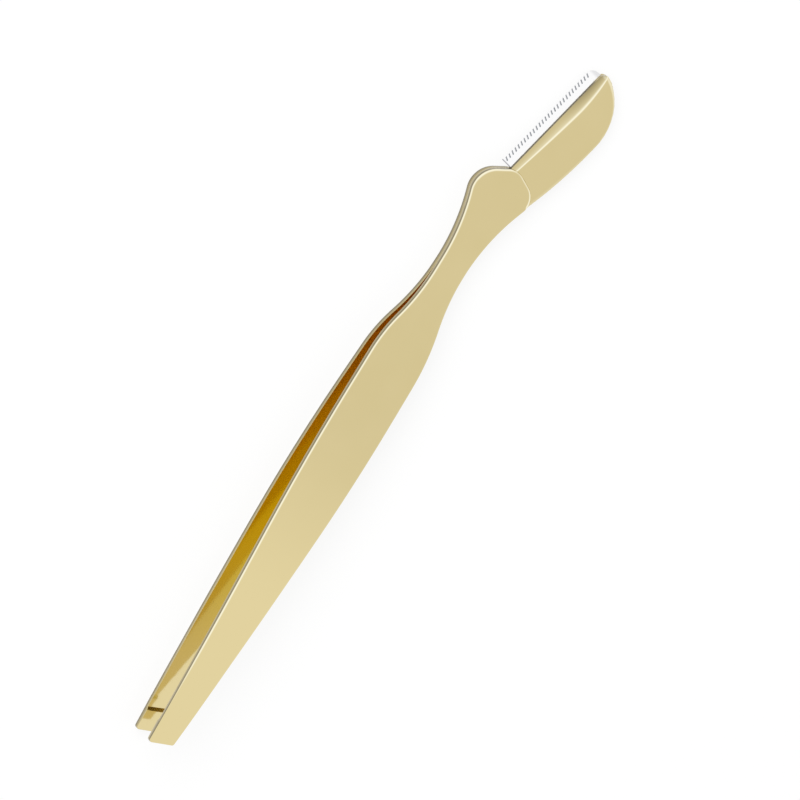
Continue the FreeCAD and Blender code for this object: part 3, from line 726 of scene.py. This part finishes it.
def make_guard(name):
    """Foil folded over the blade's edge, with a row of slots through the fold."""
    last = FIRST_SLOT_U + SLOT_PITCH * (SLOT_COUNT - 1)
    tooth = foil_mesh("guard_tooth", FIRST_SLOT_U, FIRST_SLOT_U + SLOT_PITCH, True, True, 5)
    heel = foil_mesh("guard_heel", FOIL_START_U, FIRST_SLOT_U, False, True, 7)
    nose = foil_mesh("guard_nose", last, FOIL_END_U, True, False, 18)
    step = laid_down([(*from_razor(SLOT_PITCH, 0), 0)])[0] - laid_down([(0, 0, 0)])[0]
    tree = guard_tree()
    worker = bpy.data.objects.new("guard_row", bpy.data.meshes.new("guard_row"))
    bpy.context.scene.collection.objects.link(worker)
    modifier = worker.modifiers.new("slots", "NODES")
    modifier.node_group = tree
    sockets = {item.name: item.identifier for item in tree.interface.items_tree if item.in_out == "INPUT"}
    values = {"Tooth": tooth, "Heel": heel, "Nose": nose, "Tooth count": SLOT_COUNT - 1, "Pitch": step,
              "Weld distance": 0.000002, "Foil": guard_foil}
    for label, value in values.items():
        modifier[sockets[label]] = value
    joined = plain_mesh(worker, "guard_joined")
    for part in (tooth, heel, nose):
        bpy.data.objects.remove(part)
    guard = with_flat_faces(joined, name, 40)
    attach(guard, "head")
    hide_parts("blade_guard")
    return guard


make_arm("front_arm", FRONT)
make_arm("rear_arm", REAR)
make_cheek("front_cheek", FRONT)
make_cheek("rear_cheek", REAR)
make_guard("guard")
for node in ("razor_blade", "heel_pin", "nose_pin"):
    steel = frame["nodes"][node]
    steel.data.materials.clear()
    steel.data.materials.append(blade_steel)


def seen_directly(tree):
    """1 for rays from the camera, a mirror or glass, which see the plain white backdrop."""
    path = add_node(tree, "ShaderNodeLightPath")
    seen = path.outputs["Is Camera Ray"]
    for label in ("Is Glossy Ray", "Is Transmission Ray"):
        seen = add_node(tree, "ShaderNodeMath", {"operation": "MAXIMUM"}, {
            0: seen, 1: path.outputs[label]}).outputs[0]
    return seen


def white_paper():
    """Matt white backdrop paper that shows white and keeps a faint shadow."""
    material, tree = new_material("white_backdrop_paper")
    shade = add_node(tree, "ShaderNodeMath", {"operation": "MULTIPLY", 1: 0.85}, {0: seen_directly(tree)})
    paper = add_node(tree, "ShaderNodeBsdfDiffuse", {"Color": linear("#F2F2F2")})
    glow = add_node(tree, "ShaderNodeEmission", {"Color": (1, 1, 1, 1), "Strength": 1.0})
    mixed = add_node(tree, "ShaderNodeMixShader", links={
        0: shade.outputs[0], 1: paper.outputs[0], 2: glow.outputs[0]})
    finish_material(tree, mixed)
    return material


def make_stage():
    """White floor, white surroundings, and a broad soft lamp that the polished faces don't mirror."""
    half = 2.0
    corners = [(-half, -half, 0), (half, -half, 0), (half, half, 0), (-half, half, 0)]
    floor_mesh = bpy.data.meshes.new("floor")
    floor_mesh.from_pydata(corners, [], [(0, 1, 2, 3)])
    floor_mesh.materials.append(white_paper())
    floor = bpy.data.objects.new("floor", floor_mesh)
    bpy.context.scene.collection.objects.link(floor)

    world = bpy.data.worlds.new("studio")
    bpy.context.scene.world = world
    world.use_nodes = True
    tree = world.node_tree
    tree.nodes.clear()
    room = add_node(tree, "ShaderNodeBackground", {"Color": (1, 1, 1, 1), "Strength": 0.8})
    white = add_node(tree, "ShaderNodeBackground", {"Color": (1, 1, 1, 1), "Strength": 1.0})
    mixed = add_node(tree, "ShaderNodeMixShader", links={
        0: seen_directly(tree), 1: room.outputs[0], 2: white.outputs[0]})
    add_node(tree, "ShaderNodeOutputWorld", links={"Surface": mixed.outputs[0]})

    lamp_data = bpy.data.lights.new("soft_lamp", "AREA")
    lamp_data.shape = "RECTANGLE"
    lamp_data.size, lamp_data.size_y = 1.2, 0.8
    lamp_data.energy = 12
    lamp = bpy.data.objects.new("soft_lamp", lamp_data)
    lamp.location = (-0.3, -0.9, 1.0)
    lamp.rotation_euler = (-lamp.location).to_track_quat("-Z", "Y").to_euler()
    lamp.visible_glossy = False
    bpy.context.scene.collection.objects.link(lamp)


# The camera looks down the tool from its head side with a long lens, as in the photograph.
# These are the picture's right and up directions in the tool's own frame, and the point at its middle.
PICTURE_RIGHT = Vector((-0.53154, 0.79145, 0.30178))
TO_CAMERA = Vector((-0.0567, -0.38872, 0.91961))
PICTURE_MIDDLE = (35.144, 5.007, -0.046)
PICTURE_WIDTH = 0.8 / 6.4984
CAMERA_DISTANCE = 1.5


def make_camera():
    def turned(direction):
        return (lie_x * direction.x + Vector((0, direction.y, 0)) + lie_z * direction.z).normalized()

    back = turned(TO_CAMERA)
    right = turned(PICTURE_RIGHT)
    up = back.cross(right).normalized()
    right = up.cross(back)
    data = bpy.data.cameras.new("camera")
    data.sensor_width = 36.0
    data.lens = data.sensor_width * CAMERA_DISTANCE / PICTURE_WIDTH
    data.clip_end = 10.0
    camera = bpy.data.objects.new("camera", data)
    middle = Vector(laid_down([PICTURE_MIDDLE])[0])
    turn = Matrix((right, up, back)).transposed().to_4x4()
    camera.matrix_world = Matrix.Translation(middle + back * CAMERA_DISTANCE) @ turn
    bpy.context.scene.collection.objects.link(camera)
    bpy.context.scene.camera = camera


make_stage()
make_camera()
# Light passes many times between the two polished inner faces before it leaves the narrow gap.
bpy.context.scene.cycles.max_bounces = 24
bpy.context.scene.cycles.glossy_bounces = 20
bpy.context.scene.view_settings.view_transform = "Standard"
